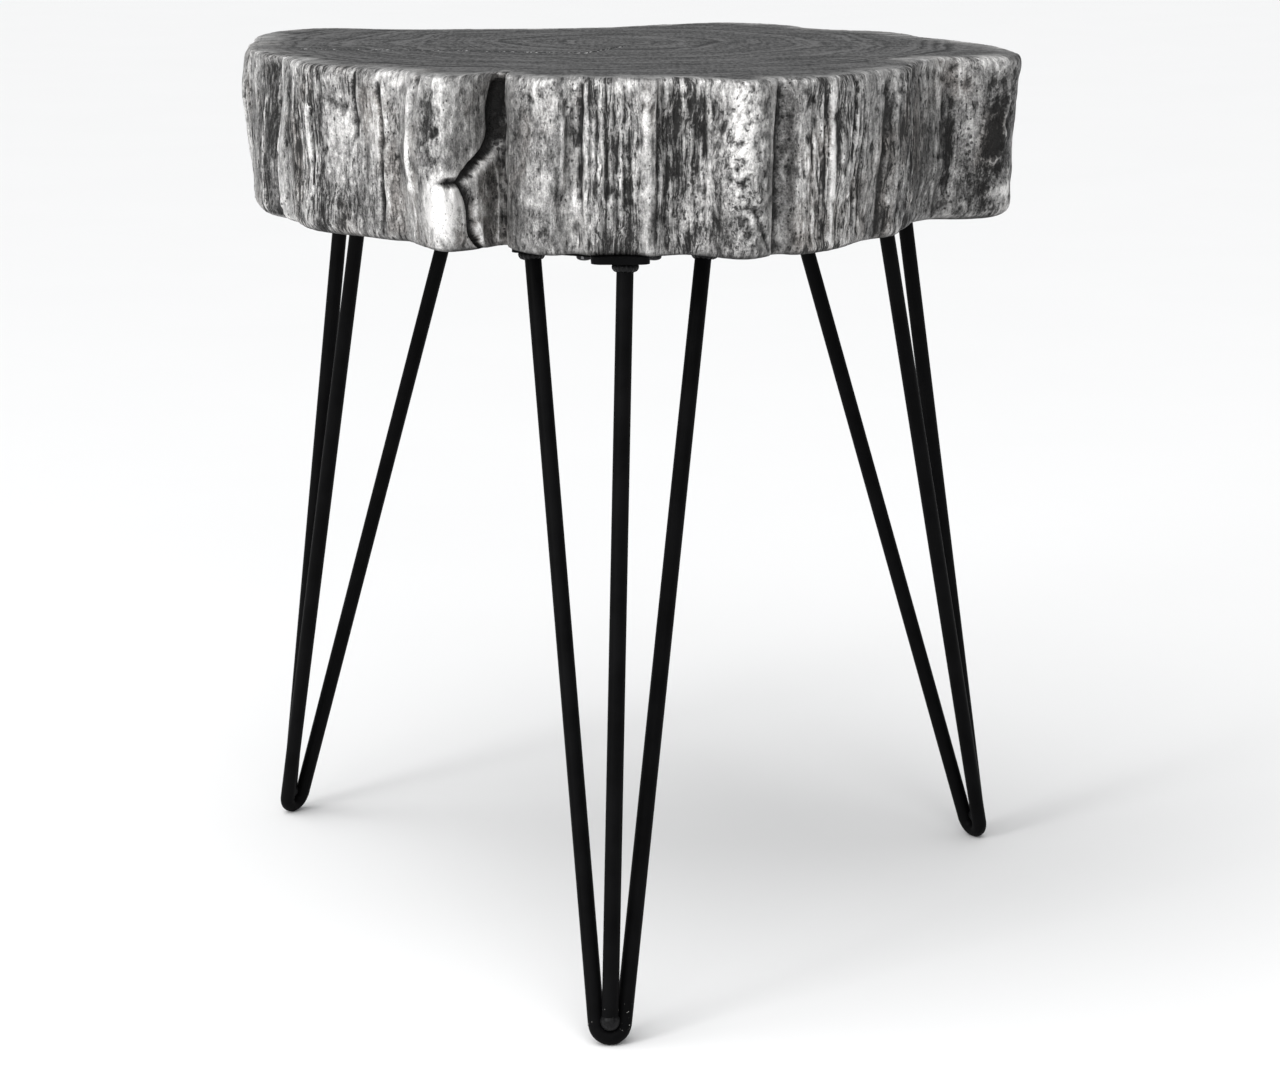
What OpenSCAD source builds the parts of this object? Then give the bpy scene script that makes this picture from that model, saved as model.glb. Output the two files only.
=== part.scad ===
// Side table: a thick live-edge log slice carried by three hairpin legs.
// Millimetres, +Z up, floor at z = 0, origin under the middle of the whole table's box.

/* [Slab] */
// Width of the log slice across its widest lobes
slab_w = 504; // [380:2:640]
// Depth of the log slice from front to back
slab_d = 516; // [380:2:640]
// Thickness of the log slice
slab_t = 102; // [60:1:140]
// Share of the natural lobes and creases kept in the outline
lobe_share = 1; // [0.4:0.05:1]
// Rounding of the lower edge of the bark side
lower_round = 9; // [4:0.5:16]
// Rounding of the upper edge of the bark side
upper_round = 3; // [1:0.5:6]
// How far the lower edge tucks in at the left and right ends
side_tuck = 4; // [0:1:26]
// How far the right end leans in from its upper to its lower edge
right_lean = 6; // [0:1:14]

/* [Leg shape] */
// Floor to the underside of the slice
leg_h = 457; // [350:1:720]
// Diameter of every leg rod
rod_d = 10; // [8:0.5:14]
// Distance between the two hairpin rods at the plate, centre to centre
rod_spread = 102; // [80:1:124]
// Inside radius of the bend that makes the foot
bend_inside_r = 3; // [2.5:0.5:6]
// How far inwards the hairpin leans from the foot to the plate
hairpin_lean_in = 120; // [90:1:140]
// How far the top of the centre rod stands outwards of the hairpin
centre_rod_out = 56; // [48:1:64]
// How far the top of the centre rod stands to the side of the leg's middle
centre_rod_side = 2.8; // [0:0.2:4]
// Sideways lean of a whole leg from the foot to the plate
side_lean = 7.4; // [0:0.2:12]
// Height of the centre rod's lower end above the bend's centre
centre_rod_lift = 4.5; // [3:0.5:10]

/* [Mounting plate] */
// Thickness of each mounting plate
plate_t = 4; // [3:0.5:6]
// Width of the plate's narrow outer end
plate_outer_w = 34; // [30:1:44]
// Width of the plate's broad inner end beyond the spread of the rods
plate_side_margin = 24; // [20:1:36]
// Length of the plate's narrow outer end
plate_neck = 34; // [26:1:34]
// Length of the plate's broad inner end
plate_band = 26; // [22:1:30]
// Radius of the plate's corners
plate_corner_r = 6; // [4:0.5:8]
// Size of the weld fillets
weld = 3; // [2:0.25:4]

/* [Screws] */
// Diameter of the screw shanks
screw_d = 5; // [4:0.5:6]
// Length of the screws under the head
screw_l = 30; // [20:1:45]
// Diameter of the screw heads
head_d = 9.5; // [8:0.5:11]
// Height of the screw heads
head_h = 3.4; // [2.5:0.1:4]
// Play of a screw in its plate hole, on the diameter
plate_hole_play = 0.5; // [0.3:0.1:1]
// Play of a screw in its pilot hole, on the diameter
pilot_play = 0.1; // [0.1:0.05:0.3]

/* [Leg places] */
// Front leg: how far the foot stands out from the slice's mean outline
front_foot_out = 43; // [0:1:60]
// Front leg: direction of the foot from the slice's centre
front_foot_az = 268; // [258:1:282]
// Front leg: direction that the leg faces
front_face_az = 271.5; // [262:0.5:280]
// Right leg: how far the foot stands out from the slice's mean outline
right_foot_out = 9; // [0:1:60]
// Right leg: direction of the foot from the slice's centre
right_foot_az = 22; // [14:1:40]
// Right leg: direction that the leg faces
right_face_az = 32.5; // [24:0.5:40]
// Left leg: how far the foot stands out from the slice's mean outline
left_foot_out = 33; // [0:1:60]
// Left leg: direction of the foot from the slice's centre
left_foot_az = 147; // [138:1:160]
// Left leg: direction that the leg faces
left_face_az = 144.5; // [136:0.5:152]

/* [Show] */
// Piece to build

/* [Hidden] */
$fn = 64;

far = 1500;
rod_r = rod_d / 2;
bend_r = bend_inside_r + rod_r;
// Bending draws the rod a little thinner, and each straight run starts a little way into the bend.
bend_tube_r = rod_r - 0.15;
bend_lap = 0.5;
// Turn of each rod about its own axis, so that its seam lies clear of the slanted cut at the plate
seam_turn = 40;
plate_low = leg_h - plate_t;
slab_top = leg_h + slab_t;

// The hairpin lies in a plane that leans inwards. Its bend just touches the floor.
hairpin_tilt = atan2(hairpin_lean_in, plate_low - rod_r - bend_r);
bend_z = bend_tube_r + bend_r * cos(hairpin_tilt);
plane_h = (plate_low - bend_z) / cos(hairpin_tilt);
plane_lean = atan2(side_lean, plane_h);
// Both rods are tangent to the bend and reach the wanted spread at the plate.
half_spread = rod_spread / 2;
half_angle = acos(bend_r / sqrt(pow(half_spread, 2) + pow(plane_h, 2))) - atan2(plane_h, half_spread);

// The centre rod rests in the groove between the hairpin rods, its lower end just clear of both.
groove_gap = 0.2;
low_half = bend_r / cos(half_angle) + centre_rod_lift * tan(half_angle);
groove_square = pow(rod_d + groove_gap, 2) - pow(low_half, 2);
groove_out = max(rod_r, sqrt(max(0, groove_square)));
centre_low = [
    groove_out * cos(hairpin_tilt) - centre_rod_lift * sin(hairpin_tilt),
    centre_rod_lift * tan(plane_lean),
    bend_z + centre_rod_lift * cos(hairpin_tilt) + groove_out * sin(hairpin_tilt)
];
hairpin_top_u = -plane_h * sin(hairpin_tilt);
centre_top = [hairpin_top_u + centre_rod_out, side_lean + centre_rod_side, plate_low];
centre_run = centre_top - centre_low;
centre_len = norm(centre_run);

// The plate reaches past the weld of the centre rod at one end and of the hairpin rods at the other.
plate_end_margin = 2;
plate_outer_u = centre_top[0] + rod_r + weld + plate_end_margin;
plate_inner_u = hairpin_top_u - rod_r - weld - 2 * plate_end_margin;
plate_len = plate_outer_u - plate_inner_u;
plate_inner_w = rod_spread + plate_side_margin;
// Screws sit in two rows: share of the plate's length from the outer end, and sideways distance
screw_rows = [[0.57 * plate_len, 0.4 * half_spread], [0.84 * plate_len, half_spread / 2]];
screw_places = [
    for (row = screw_rows, side = [-1, 1]) [plate_outer_u - row[0], side_lean + side * row[1]]
];
plate_hole_r = (screw_d + plate_hole_play) / 2;
pilot_r = (screw_d + pilot_play) / 2;
pilot_tip = 2;
// Radius of the ball that rounds a screw head
head_round_r = 0.62 * head_d;

// The rim of the slice, anticlockwise: direction and percentage of the mean ellipse
rim = [
    // right end, then the lobes of the back right
    [-4, 100], [4, 98], [11, 96], [18, 93], [23, 91], [28, 91], [36, 96], [43, 98],
    // the big back lobe and the flat stretch beside it
    [50, 94], [57, 95], [61, 100], [69, 106], [75, 106], [79, 100], [85, 91], [94, 81], [111, 80], [126, 89],
    // back left corner and left end
    [134, 100], [137, 110], [140, 116], [146, 116], [153, 112], [162, 105], [172, 101], [184, 97], [194, 95],
    // crease, then the first front lobes
    [202, 92], [209, 94], [216, 94], [223, 91], [230, 91], [233, 90], [238, 95],
    // knot lobe and the deep crevice beside it
    [243.5, 100], [245.5, 97], [247, 91], [248.6, 82], [251, 88], [256.5, 95], [260, 96], [262, 92],
    // middle front
    [265, 95], [270, 94], [273, 97], [276, 94], [280, 96], [284, 104], [287, 104], [291, 99],
    // front right, with the step before the right end
    [293, 102], [299, 100], [304, 96], [309, 92], [314, 91], [318, 90], [325, 86], [333, 83],
    [341, 86], [343, 93], [346, 99], [351, 101]
];
rim_steps = 3;

// Places of the three legs, tied to the slice: foot distance, foot direction, facing direction
function mean_radius(az) = 1 / norm([2 * cos(az) / slab_w, 2 * sin(az) / slab_d]);
front_place = [mean_radius(front_foot_az) + front_foot_out, front_foot_az, front_face_az];
right_place = [mean_radius(right_foot_az) + right_foot_out, right_foot_az, right_face_az];
left_place = [mean_radius(left_foot_az) + left_foot_out, left_foot_az, left_face_az];

// Smooth closed curve through the rim values
function wrapped(i) = let (n = len(rim), k = (i % n + n) % n) [rim[k][0] + 360 * floor(i / n), rim[k][1]];
function blend(a, b, c, d, t) =
    0.5 * (2 * b + (c - a) * t + (2 * a - 5 * b + 4 * c - d) * t * t + (3 * b - a - 3 * c + d) * t * t * t);
rim_curve = [
    for (i = [0 : len(rim) - 1], s = [0 : rim_steps - 1])
        blend(wrapped(i - 1), wrapped(i), wrapped(i + 1), wrapped(i + 2), s / rim_steps)
];

// Inset of the bark side at a height over the underside: rounded edges, a slow wave and the tucked ends
function edge_inset(r, d) = d >= r ? 0 : r - sqrt(pow(r, 2) - pow(r - max(0, d), 2));
slow_wave = 1.6;
quick_wave = 1.1;
function bark_wave(az, share) = slow_wave * sin(5 * az + 190 * share) + quick_wave * sin(11 * az - 320 * share);
function tuck(az, share) = side_tuck * pow(cos(az), 2) * pow(1 - share, 6)
    + right_lean * pow(max(0, cos(az)), 2) * (1 - share);
function inset(az, z) = let (share = max(0, min(1, z / slab_t)))
    edge_inset(lower_round, z) + edge_inset(upper_round, slab_t - z)
    + tuck(az, share) + lobe_share * (slow_wave + quick_wave + bark_wave(az, share));
function rim_point(p, z) = let (
        lobe = 1 + lobe_share * (p[1] / 100 - 1),
        in = inset(p[0], z)
    ) [(slab_w / 2 * lobe - in) * cos(p[0]), (slab_d / 2 * lobe - in) * sin(p[0]), leg_h + z];

skin = 1;
ring_heights = [
    -skin, 0, 0.13 * lower_round, 0.5 * lower_round, lower_round,
    0.3 * slab_t, 0.5 * slab_t, 0.7 * slab_t, 0.87 * slab_t,
    slab_t - upper_round, slab_t - 0.4 * upper_round, slab_t, slab_t + skin
];
rim_n = len(rim_curve);
ring_n = len(ring_heights);
ring_points = [for (z = ring_heights, p = rim_curve) rim_point(p, z)];
bottom_hub = ring_n * rim_n;
top_hub = bottom_hub + 1;
slab_points = concat(ring_points, [[0, 0, leg_h - skin], [0, 0, slab_top + skin]]);
side_faces = [
    for (k = [0 : ring_n - 2], i = [0 : rim_n - 1], half = [0, 1])
        let (a = k * rim_n + i, b = k * rim_n + (i + 1) % rim_n)
            half == 0 ? [a, b + rim_n, b] : [a, a + rim_n, b + rim_n]
];
cap_faces = [
    for (i = [0 : rim_n - 1], top = [0, 1])
        let (j = (i + 1) % rim_n, base = (ring_n - 1) * rim_n)
            top == 0 ? [bottom_hub, i, j] : [top_hub, base + j, base + i]
];

// Middle of the whole table's box: the slice's sides, and the front foot against the slice's back
slab_x = [for (p = ring_points) p[0]];
slab_y = [for (p = ring_points) p[1]];
function foot_reach(place) = place[0] * sin(place[1]) - (groove_out + rod_r);
table_middle = [
    (min(slab_x) + max(slab_x)) / 2,
    (min(min(slab_y), foot_reach(front_place)) + max(slab_y)) / 2
];

// Everything is drawn about the slice's centre and moved once.
module table_frame() {
    translate([-table_middle[0], -table_middle[1], 0]) children();
}

// Leg frame: x outwards, y sideways, z up from the floor, origin below the bend's centre
module leg_frame(place) {
    table_frame()
        rotate([0, 0, place[1]]) translate([place[0], 0, 0]) rotate([0, 0, place[2] - place[1]]) children();
}

// Everything under the plates
module below_plate() {
    translate([-far / 2, -far / 2, plate_low - far]) cube([far, far, far]);
}

// The hairpin's plane: x sideways, y up the plane, origin at the bend's centre
module hairpin_plane() {
    translate([0, 0, bend_z]) rotate([0, -hairpin_tilt, 0]) rotate([90, 0, 90]) rotate([0, 0, -plane_lean])
        children();
}

// Frame of one hairpin rod, z running up it from the end of the bend
module hairpin_rod_frame(side) {
    hairpin_plane() rotate([0, 0, -side * half_angle]) translate([side * bend_r, 0, 0]) rotate([-90, 0, 0])
        rotate([0, 0, seam_turn]) children();
}

// Length of a hairpin rod from the bend to the plate
function hairpin_rod_len(side) = let (a = half_angle + side * plane_lean) (plane_h + bend_r * sin(a)) / cos(a);

// Frame of the centre rod, z running up it from its lower end
module centre_rod_frame() {
    translate(centre_low)
        rotate([0, acos(centre_run[2] / centre_len), atan2(centre_run[1], centre_run[0])])
            rotate([0, 0, seam_turn]) children();
}

// The rods run a little past the plate's underside and are cut flush with it.
module hairpin_rods() {
    for (side = [-1, 1])
        hairpin_rod_frame(side) translate([0, 0, -bend_lap])
            cylinder(h = bend_lap + hairpin_rod_len(side) + rod_d, r = rod_r);
}

module bend() {
    hairpin_plane() rotate([0, 0, 180 + half_angle])
        rotate_extrude(angle = 180 - 2 * half_angle) translate([bend_r, 0]) circle(r = bend_tube_r);
}

module centre_rod() {
    centre_rod_frame() cylinder(h = centre_len + rod_d, r = rod_r);
}

module hairpin_piece(place) {
    color("#17181a") leg_frame(place) {
        intersection() {
            union() {
                bend();
                hairpin_rods();
            }
            below_plate();
        }
    }
}

module centre_rod_piece(place) {
    color("#17181a") leg_frame(place) {
        intersection() {
            centre_rod();
            below_plate();
        }
    }
}

// Outward unit normal of an edge of an anticlockwise outline
function edge_normal(a, b) = [b[1] - a[1], a[0] - b[0]] / norm(b - a);

// Straight-sided plate outline with true round corners
module round_cornered(corners, r) {
    n = len(corners);
    tangents = [
        for (i = [0 : n - 1], next = [0, 1])
            corners[i] + r * edge_normal(corners[(i + n - 1 + next) % n], corners[(i + next) % n])
    ];
    polygon(tangents);
    for (c = corners)
        translate(c) circle(r = r);
}

// Rectangle with round corners, from one distance to another and to both sides of the leg's middle
module rounded_strip(from_u, to_u, half) {
    r = plate_corner_r;
    round_cornered([
        [from_u - r, r - half], [from_u - r, half - r], [to_u + r, half - r], [to_u + r, r - half]
    ], r);
}

// Narrow outer end, slanted shoulders and a broad band for the hairpin rods
module plate_outline() {
    shoulder_in = 1;
    neck_half = plate_outer_w / 2;
    band_half = plate_inner_w / 2;
    band_u = plate_inner_u + plate_band;
    shoulder_low = neck_half - shoulder_in;
    shoulder_high = band_half - plate_corner_r - 2 * shoulder_in;
    rounded_strip(plate_outer_u, plate_inner_u + shoulder_in + plate_corner_r / 2, neck_half);
    rounded_strip(band_u, plate_inner_u, band_half);
    polygon([
        [plate_outer_u - plate_neck, -shoulder_low], [plate_outer_u - plate_neck, shoulder_low],
        [band_u, shoulder_high], [band_u - plate_corner_r / 2, shoulder_high],
        [band_u - plate_corner_r / 2, -shoulder_high], [band_u, -shoulder_high]
    ]);
}

module plate_piece(place) {
    color("#17181a") leg_frame(place) {
        difference() {
            translate([0, side_lean, plate_low]) linear_extrude(plate_t) plate_outline();
            for (p = screw_places)
                translate([p[0], p[1], plate_low - skin]) cylinder(h = plate_t + 2 * skin, r = plate_hole_r);
        }
    }
}

// Cone of weld metal round the top of a rod, in the rod's own frame
module weld_cone(top) {
    below = 1.5 * weld;
    above = weld;
    root = 0.2;
    slope = (weld - root) / below;
    translate([0, 0, top - below])
        cylinder(h = below + above, r1 = rod_r + root, r2 = rod_r + root + slope * (below + above));
}

module plate_welds_piece(place) {
    color("#232427") leg_frame(place) {
        difference() {
            intersection() {
                union() {
                    for (side = [-1, 1])
                        hairpin_rod_frame(side) weld_cone(hairpin_rod_len(side));
                    centre_rod_frame() weld_cone(centre_len);
                }
                below_plate();
            }
            hairpin_rods();
            centre_rod();
        }
    }
}

// Bead that joins the centre rod's lower end to the bend
module foot_weld_piece(place) {
    bead_r = rod_r + 0.8;
    color("#232427") leg_frame(place) {
        difference() {
            translate(centre_low - [0, 0, weld]) sphere(r = bead_r);
            bend();
            hairpin_rods();
            centre_rod();
        }
    }
}

// Where every screw enters the underside of the slice
module at_screws() {
    for (place = [front_place, right_place, left_place])
        leg_frame(place)
            for (p = screw_places)
                translate([p[0], p[1], plate_low]) children();
}

module plate_screws_piece() {
    color("#2a2b2d") at_screws() {
        cylinder(h = screw_l, r = screw_d / 2);
        intersection() {
            translate([0, 0, head_round_r - head_h]) sphere(r = head_round_r);
            translate([0, 0, -head_h]) cylinder(h = head_h, r = head_d / 2);
        }
    }
}

module slab_piece() {
    color("#8d8d8f") difference() {
        table_frame() intersection() {
            polyhedron(points = slab_points, faces = concat(side_faces, cap_faces), convexity = 8);
            translate([-far / 2, -far / 2, leg_h]) cube([far, far, slab_t]);
        }
        at_screws() cylinder(h = screw_l + pilot_tip, r = pilot_r);
    }
}

slab_piece();  // slab
plate_piece(front_place);  // front_plate
hairpin_piece(front_place);  // front_hairpin
centre_rod_piece(front_place);  // front_centre_rod
plate_welds_piece(front_place);  // front_plate_welds
foot_weld_piece(front_place);  // front_foot_weld
plate_piece(right_place);  // right_plate
hairpin_piece(right_place);  // right_hairpin
centre_rod_piece(right_place);  // right_centre_rod
plate_welds_piece(right_place);  // right_plate_welds
foot_weld_piece(right_place);  // right_foot_weld
plate_piece(left_place);  // left_plate
hairpin_piece(left_place);  // left_hairpin
centre_rod_piece(left_place);  // left_centre_rod
plate_welds_piece(left_place);  // left_plate_welds
foot_weld_piece(left_place);  // left_foot_weld
plate_screws_piece();  // plate_screws
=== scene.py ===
import math

import bmesh
import bpy
import numpy as np
from mathutils import Matrix, Vector, noise
from mathutils.bvhtree import BVHTree


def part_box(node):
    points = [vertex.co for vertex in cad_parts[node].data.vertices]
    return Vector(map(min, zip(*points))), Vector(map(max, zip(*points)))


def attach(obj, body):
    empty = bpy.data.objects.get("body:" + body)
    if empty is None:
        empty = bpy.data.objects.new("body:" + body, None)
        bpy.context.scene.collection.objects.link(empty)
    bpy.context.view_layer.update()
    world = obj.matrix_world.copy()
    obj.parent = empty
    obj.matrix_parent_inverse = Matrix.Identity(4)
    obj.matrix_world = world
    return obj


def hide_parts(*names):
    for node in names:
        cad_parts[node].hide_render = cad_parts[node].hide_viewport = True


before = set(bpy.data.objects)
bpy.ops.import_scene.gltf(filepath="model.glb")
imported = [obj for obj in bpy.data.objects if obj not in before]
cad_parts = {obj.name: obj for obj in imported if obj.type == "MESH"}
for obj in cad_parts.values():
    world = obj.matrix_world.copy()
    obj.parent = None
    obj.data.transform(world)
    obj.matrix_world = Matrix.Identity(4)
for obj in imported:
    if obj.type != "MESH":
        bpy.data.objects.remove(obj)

bpy.context.view_layer.update()

MM = 0.001
ROOT = "root"

# ---------------------------------------------------------------- sizes

slab_low, slab_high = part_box("slab")
SLAB_BOTTOM = slab_low.z
SLAB_TOP = slab_high.z
SLAB_THICK = SLAB_TOP - SLAB_BOTTOM
SLAB_MIDDLE = Vector(((slab_low.x + slab_high.x) / 2, (slab_low.y + slab_high.y) / 2))
# The pith, where the growth rings and the drying crack start
PITH = Vector((-12 * MM, 77 * MM))


# ---------------------------------------------------------------- shader maths

class Value:
    """A socket of one finish, so that shader maths is written as plain arithmetic."""

    def __init__(self, finish, socket):
        self.finish = finish
        self.socket = socket

    def calc(self, operation, *others):
        inputs = dict(enumerate((self,) + others))
        return self.finish.node("ShaderNodeMath", {"operation": operation}, inputs)

    def __add__(self, other):
        return self.calc("ADD", other)

    def __radd__(self, other):
        return self.calc("ADD", other)

    def __sub__(self, other):
        return self.calc("SUBTRACT", other)

    def __rsub__(self, other):
        return self.calc("MULTIPLY_ADD", -1.0, other)

    def __mul__(self, other):
        return self.calc("MULTIPLY", other)

    def __rmul__(self, other):
        return self.calc("MULTIPLY", other)

    def __truediv__(self, other):
        return self.calc("DIVIDE", other)

    def __pow__(self, other):
        return self.calc("POWER", other)

    def low(self, other):
        return self.calc("MINIMUM", other)

    def high(self, other):
        return self.calc("MAXIMUM", other)

    def step(self, start, end):
        """0 up to start, 1 from end on, smooth between."""
        settings = {"interpolation_type": "SMOOTHSTEP"}
        inputs = {"Value": self, "From Min": start, "From Max": end}
        return self.finish.node("ShaderNodeMapRange", settings, inputs)


class Graph:
    """A node tree that is being built."""

    def __init__(self, tree):
        self.tree = tree
        self.tree.nodes.clear()

    def node(self, kind, settings=None, inputs=None, output=0):
        made = self.tree.nodes.new(kind)
        for name, value in (settings or {}).items():
            setattr(made, name, value)
        for name, value in (inputs or {}).items():
            if isinstance(value, Value):
                self.tree.links.new(value.socket, made.inputs[name])
            else:
                made.inputs[name].default_value = value
        return Value(self, made.outputs[output]) if made.outputs else None

    def other_output(self, value, name):
        return Value(self, value.socket.node.outputs[name])


class Finish(Graph):
    """A material that is being built."""

    def __init__(self, name):
        self.material = bpy.data.materials.new(name)
        self.material.use_nodes = True
        super().__init__(self.material.node_tree)

    def attribute(self, name, output="Vector"):
        return self.node("ShaderNodeAttribute", {"attribute_name": name}, None, output)

    def parts(self, colour):
        made = self.node("ShaderNodeSeparateColor", None, {"Color": colour})
        outputs = made.socket.node.outputs
        return [Value(self, outputs[name]) for name in ("Red", "Green", "Blue")]

    def stretched(self, vector, scale, offset=(0.0, 0.0, 0.0)):
        made = self.node("ShaderNodeVectorMath", {"operation": "MULTIPLY"}, {0: vector, 1: scale})
        return self.node("ShaderNodeVectorMath", {"operation": "ADD"}, {0: made, 1: offset})

    def noise(self, vector, scale=1.0, detail=3.0, roughness=0.55, distortion=0.0):
        inputs = {
            "Vector": vector, "Scale": scale, "Detail": detail,
            "Roughness": roughness, "Distortion": distortion,
        }
        return self.node("ShaderNodeTexNoise", None, inputs, "Fac")

    def cells(self, vector, scale, feature="F1"):
        inputs = {"Vector": vector, "Scale": scale}
        return self.node("ShaderNodeTexVoronoi", {"feature": feature}, inputs, "Distance")

    def mix(self, factor, first, second):
        first = (*first, 1.0) if isinstance(first, tuple) else first
        second = (*second, 1.0) if isinstance(second, tuple) else second
        inputs = {0: factor, 6: first, 7: second}
        return self.node("ShaderNodeMix", {"data_type": "RGBA"}, inputs, 2)

    def bump(self, height, distance, strength=1.0, normal=None):
        inputs = {"Height": height, "Distance": distance, "Strength": strength}
        if normal is not None:
            inputs["Normal"] = normal
        return self.node("ShaderNodeBump", None, inputs)

    def surface(self, inputs):
        made = self.node("ShaderNodeBsdfPrincipled", None, inputs)
        self.node("ShaderNodeOutputMaterial", None, {"Surface": made})
        return self.material


# ---------------------------------------------------------------- finishes

BLACK = (0.0, 0.0, 0.0)
SILVER_TINT = (1.0, 0.985, 0.97)
WARM_TINT = (1.0, 0.87, 0.78)
BLACK_WASH = (0.009, 0.0086, 0.0082)
BOARD_TINT = (1.0, 0.99, 0.985)
UNDERSIDE_DARK = (0.007, 0.0068, 0.0065)
UNDERSIDE_LIGHT = (0.016, 0.0155, 0.015)
# The hollow attribute where the bark is neither raised nor sunk
LEVEL = 0.42


def silvered_slice():
    """Silver leaf with a black wash on the bark side, dark grey satin wood on top, black underneath and, as
    painted shade, along the lowest few millimetres of the side.
    """
    finish = Finish("silvered_slice")
    # bark_place: metres round the side and up it, on a cylinder with the same girth
    place = finish.attribute("bark_place")
    relief = finish.attribute("relief", "Color")
    hollow, fibre_share, inward = finish.parts(relief)
    under = finish.attribute("relief", "Alpha")
    # The lighter and darker leaf map: rubbed leaf and black wash, with painted highlights and painted shade
    # in it
    polish = finish.attribute("polish", "Fac")
    board = finish.node("ShaderNodeTexCoord", None, None, "Object")

    # Bark side: long fibres, short dashes, pits and the mottled leaf
    sway = finish.noise(finish.stretched(place, (34, 34, 22)), 1.0, 2.0)
    sway_way = finish.node("ShaderNodeCombineXYZ", None, {"X": sway, "Y": sway})
    sway_reach = (0.014, 0.014, 0.0)
    bent_inputs = {0: sway_way, 1: sway_reach, 2: place}
    bent = finish.node("ShaderNodeVectorMath", {"operation": "MULTIPLY_ADD"}, bent_inputs)
    strands = finish.noise(finish.stretched(bent, (640, 640, 34)), 1.0, 4.0, 0.70)
    dashes = finish.noise(finish.stretched(bent, (760, 760, 95), (3.1, 7.7, 1.9)), 1.0, 3.0, 0.62)
    grit = finish.noise(finish.stretched(place, (820, 820, 640), (9.3, 2.2, 5.1)), 1.0, 4.0, 0.7)
    mottle = finish.noise(finish.stretched(place, (240, 240, 150), (1.3, 4.2, 8.8)), 1.0, 6.0, 0.74)
    blotches = finish.noise(finish.stretched(place, (34, 34, 22), (4.3, 1.2, 2.8)), 1.0, 4.0, 0.6)
    tint = finish.noise(finish.stretched(place, (26, 26, 16), (6.1, 0.4, 3.3)), 1.0, 4.0, 0.6)
    scatter = finish.noise(finish.stretched(place, (70, 70, 45), (2.3, 6.2, 0.8)), 1.0, 3.0)
    pits = finish.cells(finish.stretched(place, (1, 1, 0.8)), 300.0)

    # Each mark has a crisp edge, and the bias says how much of it a stretch of bark has
    crumple = finish.attribute("crumple", "Fac")
    smooth_share = 1 - fibre_share
    dark_bias = 0.34 * (blotches - 0.5) + 0.26 * (scatter - 0.5) + 0.20 * polish - 0.22 * (hollow - LEVEL)
    dash_mark = 1 - (dashes + 0.19 * smooth_share + dark_bias).step(0.446, 0.476)
    strand_mark = 1 - (strands + 0.22 * smooth_share + dark_bias).step(0.375, 0.425)
    fine_pits = finish.cells(finish.stretched(place, (1, 1, 0.7), (0.4, 0.1, 0.2)), 560.0)
    pit_mark = 1 - (pits + 0.9 * (0.58 - scatter) + 0.6 * polish).step(0.12, 0.22)
    fine_pit_mark = (1 - fine_pits.step(0.10, 0.24)) * grit.step(0.42, 0.5)
    grit_mark = 1 - (grit + 0.8 * dark_bias + 0.05 - 0.06 * crumple).step(0.365, 0.405)
    folds = finish.noise(finish.stretched(place, (300, 300, 230), (5.1, 1.7, 7.3)), 1.0, 5.0, 0.66, 0.6)
    fold_mark = (1 - (folds + 0.5 * dark_bias).step(0.39, 0.44)) * crumple.step(0.15, 0.45)
    marks = dash_mark.high(strand_mark * 0.9).high(pit_mark * 0.9).high(grit_mark * 0.75)
    marks = marks.high(fold_mark * 0.85).high(fine_pit_mark * 0.55)
    # The leaf tone rises and falls with that map's painted highlights and painted shade, as well as with
    # the rubbing and wash
    tone = (
        0.50 + 1.5 * (mottle - 0.5) + 1.2 * (blotches - 0.5) + 1.3 * (strands - 0.5) * fibre_share
        + 0.8 * (grit - 0.5) + 1.5 * (folds - 0.5) * crumple + polish - 1.2 * (hollow - LEVEL)
    )
    tone = tone.high(0.02).low(1.0)
    grey = 0.04 + 0.88 * tone ** 1.9
    leaf = finish.mix(grey, BLACK, SILVER_TINT)
    warmth = tint.step(0.50, 0.68) * (1 - tone.step(0.5, 0.85))
    leaf = finish.mix(warmth * 0.35, leaf, finish.mix(grey, BLACK, WARM_TINT))
    flecks = (grit + 0.6 * (mottle - 0.5) + 0.4 * (strands - 0.5)).step(0.55, 0.63)
    deep = (hollow + 0.5 * (blotches - 0.5) + 0.35 * (mottle - 0.5)).step(0.76, 1.0) * (1 - 0.8 * flecks)
    wash = (marks * 0.92).high(deep * (0.62 + 0.38 * mottle.step(0.42, 0.56)))
    bark = finish.mix(wash * 0.97, leaf, BLACK_WASH)

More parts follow.
